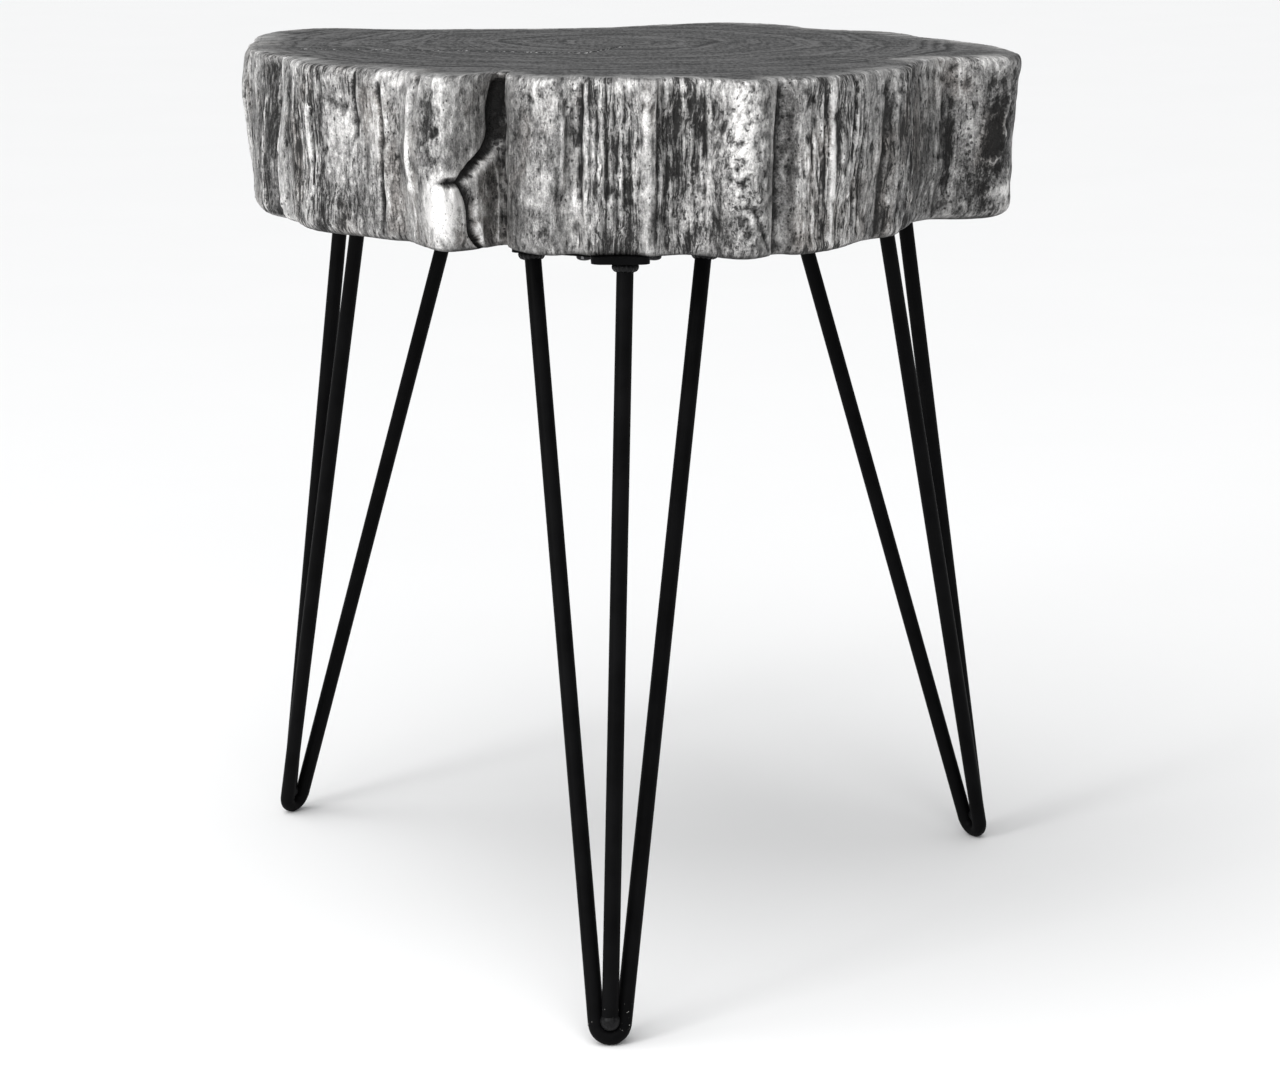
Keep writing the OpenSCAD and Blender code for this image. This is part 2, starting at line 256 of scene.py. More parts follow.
    # Sawn top: rings round the pith, saw marks, the drying crack
    across = finish.node("ShaderNodeSeparateXYZ", None, {"Vector": board})
    board_x = finish.other_output(across, "X")
    board_y = finish.other_output(across, "Y")
    from_pith = finish.stretched(board, (1, 1, 0), (-PITH.x, -PITH.y, 0.0))
    radius = finish.node("ShaderNodeVectorMath", {"operation": "LENGTH"}, {0: from_pith}, "Value")
    warp = finish.noise(finish.stretched(board, (15, 15, 0)), 1.0, 3.0)
    ring_place = finish.node("ShaderNodeCombineXYZ", None, {"X": radius * 120 + warp * 5.0})
    rings = finish.noise(ring_place, 1.0, 4.0, 0.66)
    drawn = finish.noise(finish.stretched(board, (9, 95, 0), (2.2, 0.0, 7.0)), 1.0, 4.0, 0.7)
    saw = finish.noise(finish.stretched(board, (26, 560, 0), (4.4, 0.0, 0.0)), 1.0, 3.0, 0.6)
    cloud = finish.noise(finish.stretched(board, (22, 22, 0), (0.0, 5.0, 0.0)), 1.0, 5.0, 0.6)
    speck = finish.noise(finish.stretched(board, (380, 110, 0)), 1.0, 4.0, 0.7)
    wander = (cloud - 0.5) * 9 * MM + (speck - 0.5) * 1.2 * MM
    crack = crack_mark(board_x, board_y + wander)
    top_tone = (
        (rings - 0.5) * 3.0 + (drawn - 0.5) * 1.3 + (saw - 0.5) * 0.5
        + (cloud - 0.5) * 0.7 + (speck - 0.5) * 2.2
    )
    grey_top = 0.008 + 0.113 * top_tone.step(-0.42, 0.46)
    grey_top = grey_top * (1 - 0.7 * (1 - rings.step(0.34, 0.45)))
    # The crack is painted near black, painted shade in a gap that the top's mesh doesn't open, with a few
    # light specks in it
    grey_top = grey_top * (1 - 0.93 * crack) + 0.55 * crack * speck.step(0.54, 0.60)
    board_colour = finish.mix(grey_top, BLACK, BOARD_TINT)

    # The leaf runs over the rim and fades into the top in streaks
    streak = finish.noise(finish.stretched(board, (34, 420, 0), (0.0, 0.0, 3.0)), 1.0, 4.0, 0.6)
    over = inward ** 0.6
    top = (over + (streak - 0.5) * 1.5 + (mottle - 0.5) * 0.9).step(0.22, 0.80) * inward.step(0.0, 0.05)
    colour = finish.mix(top, bark, board_colour)
    # The underside colour, which also covers the lowest strip of the side as painted shade
    bottom_colour = finish.mix(cloud.step(0.3, 0.7), UNDERSIDE_DARK, UNDERSIDE_LIGHT)
    colour = finish.mix(under, colour, bottom_colour)

    side = (1 - top) * (1 - under)
    metallic = side * (1 - wash) * 0.78 + top * 0.12
    side_roughness = 0.24 + grit * 0.20 + mottle * 0.10 + wash * 0.3
    roughness = side_roughness * side + (0.46 + saw * 0.16) * top + under * 0.8
    side_height = strands * 1.1 * fibre_share + grit * 0.5 + mottle * 1.1
    side_height = side_height - marks * 0.9 + folds * crumple * 1.6
    top_height = rings * 0.45 + saw * 0.4 + speck * 0.25 - crack * 1.6
    height = side_height * (1 - top) + top_height * top
    deepest = 1.3 * MM
    normal = finish.bump(height, deepest, 0.85)
    return finish.surface({
        "Base Color": colour, "Metallic": metallic, "Roughness": roughness, "Normal": normal,
        "Specular IOR Level": 0.3,
    })


# Drying crack in the top: where it bends, in millimetres
CRACK_BENDS = ((0, 41), (-25, -20), (-50, -19), (-102, -3), (-176, 7), (-214, 12))


CRACK_CORE = 1.1 * MM
CRACK_EDGE = 3.2 * MM


def crack_mark(x, y):
    """1 in the drying crack, fading to 0 past its edge."""
    found = None
    for (start_x, start_y), (end_x, end_y) in zip(CRACK_BENDS, CRACK_BENDS[1:]):
        start_x, start_y = start_x * MM, start_y * MM
        run_x, run_y = end_x * MM - start_x, end_y * MM - start_y
        square = run_x * run_x + run_y * run_y
        share = ((x - start_x) * (run_x / square) + (y - start_y) * (run_y / square)).high(0.0).low(1.0)
        off_x = x - start_x - share * run_x
        off_y = y - start_y - share * run_y
        gap = (off_x * off_x + off_y * off_y) ** 0.5
        found = gap if found is None else found.low(gap)
    return 1 - found.step(CRACK_CORE, CRACK_EDGE)


def powder_coat(name, wear_low, wear_high):
    """Satin black powder coat over steel, with small pale chips between two heights."""
    finish = Finish(name)
    board = finish.node("ShaderNodeTexCoord", None, None, "Object")
    peel = finish.noise(board, 950.0, 2.0)
    handling = finish.noise(board, 36.0, 4.0, 0.6)
    height = finish.node("ShaderNodeSeparateXYZ", None, {"Vector": board}, "Z")
    zone = height.step(wear_low, wear_low + 4 * MM) * (1 - height.step(wear_high - 4 * MM, wear_high))
    chips = finish.noise(board, 620.0, 2.0).step(0.70, 0.73) * zone
    coat = finish.mix(handling.step(0.3, 0.7), (0.0022, 0.0022, 0.0024), (0.0042, 0.0042, 0.0045))
    colour = finish.mix(chips, coat, (0.42, 0.41, 0.39))
    roughness = 0.42 + handling * 0.16 + chips * 0.15
    normal = finish.bump(peel + handling * 0.5 - chips * 1.5, 0.12 * MM, 0.6)
    return finish.surface({
        "Base Color": colour, "Metallic": chips * 0.8, "Roughness": roughness, "Normal": normal,
        "Specular IOR Level": 0.03,
    })


def screw_finish():
    """Black oxide with a little bright steel where the driver has bitten."""
    finish = Finish("black_oxide_screws")
    board = finish.node("ShaderNodeTexCoord", None, None, "Object")
    smut = finish.noise(board, 900.0, 3.0, 0.6)
    rub = finish.noise(board, 260.0, 3.0, 0.6)
    rubbed = rub.step(0.60, 0.68) * 0.5
    oxide = finish.mix(smut.step(0.3, 0.7), (0.010, 0.010, 0.011), (0.030, 0.030, 0.032))
    colour = finish.mix(rubbed, oxide, (0.30, 0.30, 0.31))
    normal = finish.bump(smut, 0.05 * MM, 0.5)
    roughness = 0.34 + smut * 0.2 - rubbed * 0.1
    return finish.surface({"Base Color": colour, "Metallic": 0.9, "Roughness": roughness, "Normal": normal})


def weld_finish(name):
    """Weld metal under black coat: a little glossier, with scale and spatter."""
    finish = Finish(name)
    board = finish.node("ShaderNodeTexCoord", None, None, "Object")
    scale = finish.noise(board, 700.0, 4.0, 0.65)
    beads = finish.cells(board, 420.0)
    spatter = 1 - beads.step(0.12, 0.26)
    colour = finish.mix(scale.step(0.35, 0.65), (0.0035, 0.0035, 0.0038), (0.010, 0.010, 0.0105))
    normal = finish.bump(scale * 0.6 + spatter * 0.8, 0.25 * MM, 0.7)
    roughness = 0.30 + scale * 0.25
    return finish.surface({
        "Base Color": colour, "Roughness": roughness, "Normal": normal, "Specular IOR Level": 0.12,
    })


def studio_floor():
    finish = Finish("studio_floor")
    board = finish.node("ShaderNodeTexCoord", None, None, "Object")
    mottle = finish.noise(board, 3.0, 3.0)
    colour = finish.mix(mottle, (0.86, 0.86, 0.86), (0.88, 0.88, 0.88))
    return finish.surface({"Base Color": colour, "Roughness": 0.75})


# ---------------------------------------------------------------- the slice

AROUND = 1320
UP_ROWS = 44
TOP_RINGS = (0.005, 0.012, 0.022, 0.036, 0.055, 0.085, 0.14, 0.25, 0.45, 0.75)
BOTTOM_RINGS = (0.02, 0.08, 0.3, 0.65)
# Rounding of the rim and of the lower edge as the leaf leaves them
RIM_ROUND = 5.5 * MM
LOWER_ROUND = 5.0 * MM
# Rounding of the same two edges on the CAD slab, which the side is read clear of
CAD_LOWER_ROUND = 9.0 * MM
CAD_UPPER_ROUND = 3.2 * MM


def cad_tree(name):
    """Search tree over a merged copy of a CAD node's mesh."""
    work = bmesh.new()
    work.from_mesh(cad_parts[name].data)
    bmesh.ops.remove_doubles(work, verts=work.verts, dist=1e-6)
    tree = BVHTree.FromBMesh(work)
    work.free()
    return tree


def smoothed(row, reach):
    """Running mean of a closed row of values, twice."""
    kernel = np.ones(2 * reach + 1) / (2 * reach + 1)
    for _ in range(2):
        padded = np.concatenate([row[-reach:], row, row[:reach]])
        row = np.convolve(padded, kernel, "valid")
    return row


def soften(field, reach):
    """The same running mean over a sheet that closes on itself round the side but not up it."""
    out = np.apply_along_axis(smoothed, 0, field, reach)
    kernel = np.ones(2 * reach + 1) / (2 * reach + 1)
    padded = np.pad(out, ((0, 0), (reach, reach)), "edge")
    return np.apply_along_axis(lambda line: np.convolve(line, kernel, "valid"), 1, padded)


def outline_at(tree, z, angles):
    """Distance from the slice's middle to its side in each direction."""
    far = 0.5
    found = []
    for angle in angles:
        out = Vector((math.cos(angle), math.sin(angle), 0.0))
        start = Vector((SLAB_MIDDLE.x, SLAB_MIDDLE.y, z)) + out * far
        hit = tree.ray_cast(start, -out, far)
        found.append(far - hit[3])
    return np.array(found)


def even_angles(tree):
    """Directions that are evenly spaced along the side, not round the middle."""
    fine = np.linspace(0.0, 2 * math.pi, 3601)[:-1]
    radius = smoothed(outline_at(tree, SLAB_BOTTOM + 0.5 * SLAB_THICK, fine), 4)
    x = radius * np.cos(fine)
    y = radius * np.sin(fine)
    run = np.hypot(np.diff(np.append(x, x[0])), np.diff(np.append(y, y[0])))
    girth = run.sum()
    along = np.concatenate([[0.0], np.cumsum(run)])
    fine = np.append(fine, 2 * math.pi)
    # The front, with the finest fibres, gets points that lie closer together
    closeness = 1.0 - 0.28 * np.sin(fine[:-1])
    count = np.concatenate([[0.0], np.cumsum(run * closeness)])
    wanted = np.linspace(0.0, count[-1], AROUND + 1)[:-1]
    return np.interp(wanted, count, fine), np.interp(wanted, count, along), girth


def hill(distance, width):
    return np.exp(-((distance / width) ** 2))


class BarkSheet:
    """Relief of the bark side, on a sheet of places round the side and heights up it."""

    def __init__(self, angles, along, girth, heights):
        self.angles = angles
        self.along = along
        self.girth = girth
        self.heights = heights
        self.up = np.broadcast_to(heights[None, :], (len(along), len(heights)))
        self.relief = np.zeros(self.up.shape)
        self.smooth = np.zeros(self.up.shape)
        self.turn = along / girth * 2 * math.pi
        self.girth_radius = girth / (2 * math.pi)

    def aside(self, degrees, lean=0.0, wave=0.0, seed=0.0):
        """Distance round the side from a line at one direction or through (millimetres up, direction)."""
        if isinstance(degrees, tuple):
            bends_up = [up * MM for up, _ in degrees]
            degrees = np.interp(self.heights, bends_up, [direction for _, direction in degrees])
        start = np.interp(np.radians(degrees), self.angles, self.along)
        line = start + lean * (self.heights - SLAB_THICK / 2)
        if wave:
            line = line + wave * np.array([
                noise.noise(Vector((seed * 3.7, height * 45, seed))) * 2 for height in self.heights
            ])
        gap = self.along[:, None] - line[None, :]
        return (gap + self.girth / 2) % self.girth - self.girth / 2

    def span(self, low, high, fade=6 * MM):
        """1 between two heights, fading out past them."""
        ends = np.clip((self.up - low) / fade + 1, 0, 1) * np.clip((high - self.up) / fade + 1, 0, 1)
        return ends * ends * (3 - 2 * ends)

    def grain(self, round_scale, up_scale, octaves, seed, kind="fractal"):
        """Noise that closes on itself round the side, in waves per metre."""
        out = np.empty(self.up.shape)
        for i, turn in enumerate(self.turn):
            x = math.cos(turn) * self.girth_radius * round_scale
            y = math.sin(turn) * self.girth_radius * round_scale
            for k, height in enumerate(self.heights):
                place = Vector((x, y, height * up_scale + seed * 11.3))
                if kind == "ridged":
                    out[i, k] = noise.ridged_multi_fractal(place, 0.9, 2.1, octaves, 1.0, 2.0)
                else:
                    out[i, k] = noise.fractal(place, 0.9, 2.1, octaves)
        return out

    def groove(self, degrees, width, depth, low=0.0, high=SLAB_THICK, lean=0.0, wave=2 * MM, seed=1.0):
        gap = self.aside(degrees, lean, wave, seed)
        if isinstance(width, tuple):
            width = np.interp(self.heights, [up * MM for up, _ in width], [size * MM for _, size in width])
        self.relief -= depth * hill(gap, width) * self.span(low, high)

    def step(self, degrees, drop, reach, side, low=0.0, high=SLAB_THICK, lean=0.0, seed=1.0):
        """Block edge: the bark falls back on one side of a line and comes out again over its reach."""
        gap = self.aside(degrees, lean, 1.2 * MM, seed) * side
        edge = 1.4 * MM
        fall = 1 / (1 + np.exp(-np.clip(gap / edge * 2, -30, 30)))
        self.relief -= drop * fall * np.exp(-np.clip(gap, 0, None) / reach) * self.span(low, high)

    def fibres(self, degrees, half_width, count, depth, seed):
        """A bundle of fine straight grooves, each with its own place, length and depth."""
        rng = np.random.default_rng(seed)
        start = np.interp(math.radians(degrees), self.angles, self.along)
        for _ in range(count):
            middle = start + rng.uniform(-half_width, half_width)
            low, length = rng.uniform(2, 80) * MM, rng.uniform(14, 70) * MM
            lean = rng.uniform(-0.02, 0.02)
            line = middle + lean * (self.heights - SLAB_THICK / 2)
            gap = (self.along[:, None] - line[None, :] + self.girth / 2) % self.girth - self.girth / 2
            deep = depth * rng.uniform(0.5, 1.0)
            width = rng.uniform(0.8, 1.3) * MM
            self.relief -= deep * hill(gap, width) * self.span(low, low + length, 8 * MM)

    def ridge(self, degrees, width, height, low=0.0, high=SLAB_THICK, lean=0.0, wave=2 * MM, seed=1.0):
        self.groove(degrees, width, -height, low, high, lean, wave, seed)

    def bulge(self, degrees, up, half_width, half_height, height, calm=0.8):
        near = hill(self.aside(degrees), half_width) * hill(self.up - up, half_height)
        self.relief += height * near
        self.smooth = np.maximum(self.smooth, calm * near)

    def calm(self, degrees, half_width, low=0.0, high=SLAB_THICK, amount=1.0, lean=0.0):
        near = hill(self.aside(degrees, lean), half_width) * self.span(low, high)
        self.smooth = np.maximum(self.smooth, amount * near)


def shape_bark(sheet):
    """Creases, block edges, bulges and hollows of the bark, by direction and height above the underside."""
    # Left end: a block set back behind the fibrous lobe, with one bright line
    sheet.ridge(193, 1.6 * MM, 1.0 * MM, 8 * MM, 92 * MM, wave=1 * MM, seed=1)
    sheet.step(199.8, 8.5 * MM, 24 * MM, -1, seed=2)
    sheet.groove(199.1, 1.4 * MM, 3.6 * MM, 4 * MM, 102 * MM, wave=0.6 * MM, seed=2)
    sheet.bulge(202.5, 50 * MM, 5 * MM, 70 * MM, 1.4 * MM, 0.5)
    # Fibrous lobe, its smooth patch and the dark streaks
    sheet.fibres(212, 22 * MM, 16, 1.3 * MM, 3)
    sheet.bulge(221, 58 * MM, 9 * MM, 22 * MM, 1.2 * MM, 0.7)
    sheet.groove(224.7, 1.5 * MM, 2.0 * MM, 62 * MM, 95 * MM, wave=0.6 * MM, seed=4)
    sheet.groove(230.5, 1.6 * MM, 2.2 * MM, 14 * MM, 92 * MM, wave=0.8 * MM, seed=5)
    sheet.bulge(230.6, 25 * MM, 2.6 * MM, 6 * MM, -3 * MM, 0.0)
    # Knot lobe: slanting ridge, scratches, the big bulge and its slot
    sheet.ridge(237.8, 4.0 * MM, 2.4 * MM, 36 * MM, 92 * MM, lean=0.10, wave=1 * MM, seed=6)
    sheet.bulge(242.8, 78 * MM, 8 * MM, 16 * MM, -2.2 * MM, 0.0)
    sheet.bulge(245.3, 25 * MM, 15 * MM, 19 * MM, 4.0 * MM)
    sheet.bulge(245.9, 40.5 * MM, 6.5 * MM, 2.2 * MM, -6 * MM, 0.0)
    sheet.bulge(243.5, 52 * MM, 8 * MM, 5 * MM, -1.6 * MM, 0.0)
    sheet.ridge(248.2, 2.4 * MM, 2.0 * MM, 0.0, 12 * MM, seed=8)
    # Deep crevice that leans left on its way down and turns back, and its clean right wall
    crevice = ((2, 248.2), (10, 247.7), (40, 247.1), (57, 248.6), (80, 249.5), (102, 250.0))
    crevice_widths = ((2, 2.6), (30, 4.8), (60, 5.6), (102, 4.6))
    sheet.groove(crevice, crevice_widths, 7 * MM, 0.0, 102 * MM, wave=4.0 * MM, seed=9)
    sheet.groove(250.4, 3.6 * MM, 3.4 * MM, 0.0, 80 * MM, wave=2 * MM, seed=10)
    sheet.ridge(249.2, 1.6 * MM, 1.6 * MM, 0.0, 44 * MM, wave=1.5 * MM, seed=31)
    sheet.step(252.0, 1.6 * MM, 8 * MM, -1, seed=11)
    sheet.calm(252.9, 5 * MM, 0.0, SLAB_THICK, 0.9)
    # Smooth grey stretch, pit and wedge
    sheet.calm(256, 18 * MM, 8 * MM, 88 * MM, 0.6)
    sheet.bulge(256.8, 30 * MM, 6 * MM, 3 * MM, 1.5 * MM)
    sheet.bulge(261.0, 35 * MM, 7 * MM, 7 * MM, -2.0 * MM, 0.0)
    sheet.ridge(261.3, 1.6 * MM, 1.5 * MM, 42 * MM, 76 * MM, wave=0.8 * MM, seed=11)
    sheet.groove(263.5, 1.7 * MM, 2.6 * MM, 34 * MM, 96 * MM, wave=0.8 * MM, seed=12)
    sheet.fibres(268, 16 * MM, 14, 1.2 * MM, 13)
    # Middle: smooth ridge, then heavy fibres
    sheet.ridge(272.6, 3.6 * MM, 1.5 * MM, 4 * MM, 92 * MM, wave=0.8 * MM, seed=13)
    sheet.calm(272.6, 4 * MM, 4 * MM, 90 * MM, 0.7)
    sheet.fibres(277.4, 15 * MM, 20, 1.6 * MM, 14)
    # Rough bulging lobe with a slanting crack low on it and a sharp right edge
    sheet.bulge(284.5, 58 * MM, 17 * MM, 46 * MM, 3.4 * MM, 0.0)
    sheet.groove(283.2, 1.4 * MM, 2.0 * MM, 8 * MM, 26 * MM, lean=-0.6, wave=0.6 * MM, seed=18)
    sheet.step(289.7, 4.6 * MM, 9 * MM, 1, lean=0.05, seed=20)
    sheet.calm(291.3, 6 * MM, 4 * MM, 98 * MM, 1.0, lean=0.08)
    # Strongly fibred lobe between smooth bands
    sheet.fibres(295.5, 9 * MM, 10, 1.5 * MM, 21)
    sheet.ridge(297.9, 3.0 * MM, 1.4 * MM, 6 * MM, 96 * MM, wave=0.8 * MM, seed=21)
    sheet.calm(297.9, 2.5 * MM, 6 * MM, 90 * MM, 0.7)
    sheet.fibres(304, 16 * MM, 22, 1.5 * MM, 22)
    sheet.calm(311.6, 3.6 * MM, 4 * MM, 96 * MM, 1.0)
    sheet.groove(311.6, 2.6 * MM, 1.8 * MM, 4 * MM, 98 * MM, wave=0.8 * MM, seed=24)
    sheet.step(313.4, 2.0 * MM, 8 * MM, -1, seed=25)
    sheet.fibres(320, 14 * MM, 12, 1.4 * MM, 26)
    # Notch in the rim and a hollow under the right lobe
    sheet.bulge(322.5, 97 * MM, 7 * MM, 4 * MM, -3.5 * MM, 0.0)
    sheet.bulge(322.0, 6 * MM, 9 * MM, 7 * MM, -4 * MM, 0.0)
    sheet.step(328.5, 2.6 * MM, 14 * MM, 1, seed=27)
    sheet.fibres(334, 12 * MM, 8, 1.2 * MM, 28)
    # Right end: block edge, scooped hollow with a chipped edge, bright lower patch
    sheet.step(340.8, 2.4 * MM, 12 * MM, -1, seed=29)
    sheet.bulge(343.6, 57 * MM, 7 * MM, 20 * MM, -1.8 * MM, 0.0)
    scoop_edge = ((36, 344.0), (46, 346.0), (60, 345.2), (72, 346.2), (84, 345.6))
    sheet.ridge(scoop_edge, 1.8 * MM, 1.6 * MM, 38 * MM, 82 * MM, wave=1 * MM, seed=30)
    sheet.bulge(344.2, 37 * MM, 9 * MM, 2.6 * MM, 1.5 * MM, 0.2)
    sheet.bulge(346.0, 17 * MM, 11 * MM, 6 * MM, 1.4 * MM)
    # Right end round to the back: block edges, fibre bundles, bulges and scars
    for degrees, drop, reach, side in (
        (2, 3.5, 12, 1), (17, 4.0, 14, -1), (28, 3.0, 10, 1), (49, 4.5, 14, -1), (58, 2.5, 9, 1),
        (83, 3.5, 12, -1), (93, 3.0, 10, 1), (118, 3.0, 12, -1), (129, 3.6, 12, 1), (152, 3.4, 12, -1),
        (164, 2.8, 9, 1), (175, 3.0, 10, -1),
    ):
        sheet.step(degrees, drop * MM, reach * MM, side, seed=40 + degrees)
    for degrees, half_width, count, depth in (
        (8, 16, 14, 1.5), (22, 14, 12, 1.3), (41, 22, 18, 1.8), (54, 10, 10, 1.6), (66, 16, 12, 1.4),
        (88, 14, 14, 2.0), (104, 22, 18, 1.5), (123, 14, 14, 1.8), (142, 20, 16, 1.5),
        (158, 14, 12, 1.4), (170, 14, 12, 1.7), (184, 14, 12, 1.2),
    ):
        sheet.fibres(degrees, half_width * MM, count, depth * MM, 60 + degrees)
    for degrees, up, half_width, half_height, height in (
        (13, 60, 14, 26, 2.4), (33, 34, 16, 16, 3.0), (72, 62, 20, 24, 3.4), (98, 30, 12, 16, 2.4),
        (136, 66, 15, 22, 2.8), (158, 40, 14, 20, 2.4), (180, 70, 12, 18, 2.0),
        (23, 70, 8, 12, -2.6), (60, 28, 7, 10, -2.6), (111, 66, 9, 14, -2.8), (147, 30, 7, 9, -2.4),
    ):
        calm = 0.5 if height > 0 else 0.0
        sheet.bulge(degrees, up * MM, half_width * MM, half_height * MM, height * MM, calm)


def crumpled_lobes(sheet):
    """Where the bark is crumpled and pitted instead of fibrous."""
    share = np.zeros(sheet.up.shape)
    for degrees, half_width, up, half_height, amount in (
        (243, 12, 66, 34, 0.7), (284.8, 18, 58, 60, 1.0), (345, 18, 46, 60, 0.7),
        (262, 10, 88, 16, 0.6), (256, 16, 90, 10, 0.5), (72, 26, 60, 50, 0.8), (136, 20, 60, 50, 0.8),
        (33, 18, 50, 50, 0.6), (180, 14, 60, 50, 0.4),
    ):
        near = hill(sheet.aside(degrees), half_width * MM) * hill(sheet.up - up * MM, half_height * MM)
        share = np.maximum(share, amount * near)
    return share


def fibre_lobes(sheet):
    """How fibrous each stretch of the side is, from 0 for bare smooth wood to 1."""
    share = np.full(sheet.up.shape, 0.55)
    for degrees, half_width, amount in (
        (193, 16, 0.35), (213, 32, 0.55), (268, 20, 0.40), (278, 14, 0.6), (299, 26, 0.6),
        (318, 14, 0.35), (20, 30, 0.4), (53, 18, 0.4), (88, 26, 0.5), (122, 24, 0.45), (168, 22, 0.4),
        (245, 26, -0.35), (256, 18, -0.25), (285, 18, -0.4), (345, 20, -0.3), (33, 16, -0.3),
        (72, 20, -0.35),
    ):
        share += amount * hill(sheet.aside(degrees), half_width * MM)
    return np.clip(share * (1 - sheet.smooth), 0.0, 1.0)


def polished_lobes(sheet):
    """Where the leaf is lighter (above 0) or darker (below 0): rubbed bright leaf and more of the black
    wash, with painted highlights on the big knot bulge, the slanting ridge and the right end's lower patch
    and rim notch, painted shade over the right end, and a lighter band under the worn rim.
    """
    polish = np.zeros(sheet.up.shape)
    # Painted highlights: 238 and 245 degrees, 344 at the rim and 346 low down; painted shade: 325 and 346
    # degrees across the right end
    for degrees, half_width, up, half_height, amount in (
        (196, 14, 50, 70, -0.34), (221, 12, 60, 26, 0.18), (216, 24, 92, 10, 0.16),
        (238, 6, 62, 34, 0.40), (243, 8, 74, 18, -0.30), (245, 13, 26, 18, 0.55),
        (249.5, 8, 60, 60, -0.30), (257, 10, 30, 8, 0.14), (258, 14, 60, 50, 0.04),
        (272.6, 5, 50, 60, 0.08), (278, 10, 55, 44, -0.12), (285, 17, 60, 42, 0.20),
        (291.5, 6, 55, 60, -0.16), (297.6, 5, 60, 60, 0.16), (301, 22, 30, 40, 0.06),
        (312, 5, 50, 60, -0.18), (325, 38, 50, 90, -0.30), (346, 30, 45, 60, -0.26),
        (306, 14, 60, 60, -0.10), (344, 14, 96, 6, 0.30), (346, 12, 17, 8, 0.30),
        (20, 30, 60, 40, 0.06), (344, 8, 54, 20, -0.16), (72, 24, 60, 30, 0.16),
        (100, 26, 40, 60, -0.06), (136, 18, 60, 30, 0.14), (160, 18, 50, 60, -0.04),
    ):
        near = hill(sheet.aside(degrees), half_width * MM) * hill(sheet.up - up * MM, half_height * MM)
        polish += amount * near
    worn = np.clip(0.6 + 1.2 * sheet.grain(30, 8, 2, 12), 0, 1)
    band = np.clip((sheet.up - (SLAB_THICK - (5 + 6 * worn) * MM)) / (3 * MM), 0, 1)
    return polish + 0.11 * band * worn


def rounding(size, from_edge):
    """How far an edge rounded to this size falls back at a distance from it."""
    into = np.clip(size - from_edge, 0, size)
    return size - np.sqrt(np.clip(size ** 2 - into ** 2, 0, None))


def plain_side(tree, sheet):
    """Distance from the middle to the side of the plain slice, with its rim and lower edge rounded."""
    radius = np.empty(sheet.up.shape)
    for k, height in enumerate(sheet.heights):
        z = SLAB_BOTTOM + min(max(height, CAD_LOWER_ROUND), SLAB_THICK - CAD_UPPER_ROUND)
        radius[:, k] = smoothed(outline_at(tree, z, sheet.angles), 2)
    rim_round = RIM_ROUND * (0.8 + 0.35 * sheet.grain(26, 1, 2, 9)[:, :1])
    radius -= rounding(rim_round, SLAB_THICK - sheet.up)
    # The lower edge of both ends is cut back further
    end_share = np.cos(sheet.angles)[:, None] ** 2
    radius -= rounding(LOWER_ROUND * (1 + 0.8 * end_share), sheet.up)
    return radius


def weather(sheet, share, crumpled, chips):
    """Adds lumps, fibres, folds and pits, then lets the relief fade out below and chip along the rim."""
    rough = 1 - 0.6 * sheet.smooth
    lumps = sheet.grain(38, 24, 3, 1)
    folds = sheet.grain(150, 130, 3, 8, "ridged") - 1.0
    strands = sheet.grain(190, 16, 3, 2)
    thick_strands = sheet.grain(75, 9, 2, 3)
    pits = sheet.grain(150, 105, 2, 4)
    broken = sheet.grain(210, 60, 2, 5)
    sheet.relief += 1.3 * MM * lumps * rough
    sheet.relief += 0.5 * MM * thick_strands * share
    sheet.relief += 0.9 * MM * strands * share
    sheet.relief += 0.5 * MM * broken * (0.3 + 0.7 * share)
    sheet.relief += 1.5 * MM * np.clip(folds, -1, 1.2) * crumpled
    sheet.relief -= 0.9 * MM * np.clip((pits - 0.38) * 4.0, 0, 1)
    fade_low = np.clip(sheet.up / (3 * MM), 0.5, 1)
    rim_zone = np.clip((sheet.up - (SLAB_THICK - 7 * MM)) / (6 * MM), 0, 1)
    sheet.relief = sheet.relief * fade_low * (1 - 0.55 * rim_zone)
    sheet.relief += rim_zone * (1.6 * MM * chips - 0.4 * MM)
    sheet.relief = np.minimum(sheet.relief, 7 * MM) - 0.8 * MM


def hollows(sheet):
    """How sunk each place is against the bark round it: LEVEL is even, 1 is deep."""
    near_hollow = soften(sheet.relief, 3) - sheet.relief
    wide_hollow = soften(sheet.relief, 11) - sheet.relief
    full = 4.0 * MM
    hollow = np.clip(LEVEL + (0.9 * near_hollow + 0.12 * wide_hollow) / full, 0, 1)
    rim_band = np.clip((sheet.up - (SLAB_THICK - 9 * MM)) / (5 * MM), 0, 1)
    return np.clip(hollow - 0.06 * rim_band, 0, 1)


def side_places(sheet, radius):
    """Places of the side, moved by the relief square to the smoothed outline and kept in the CAD box."""
    ways = np.stack([np.cos(sheet.angles), np.sin(sheet.angles)])[:, :, None]
    x, y = radius * ways
    wide_x, wide_y = np.apply_along_axis(smoothed, 0, radius, 6) * ways
    run_x = np.roll(wide_x, -2, 0) - np.roll(wide_x, 2, 0)
    run_y = np.roll(wide_y, -2, 0) - np.roll(wide_y, 2, 0)
    length = np.hypot(run_x, run_y)
    x = x + run_y / length * sheet.relief + SLAB_MIDDLE.x
    y = y - run_x / length * sheet.relief + SLAB_MIDDLE.y
    return np.clip(x, slab_low.x, slab_high.x), np.clip(y, slab_low.y, slab_high.y)


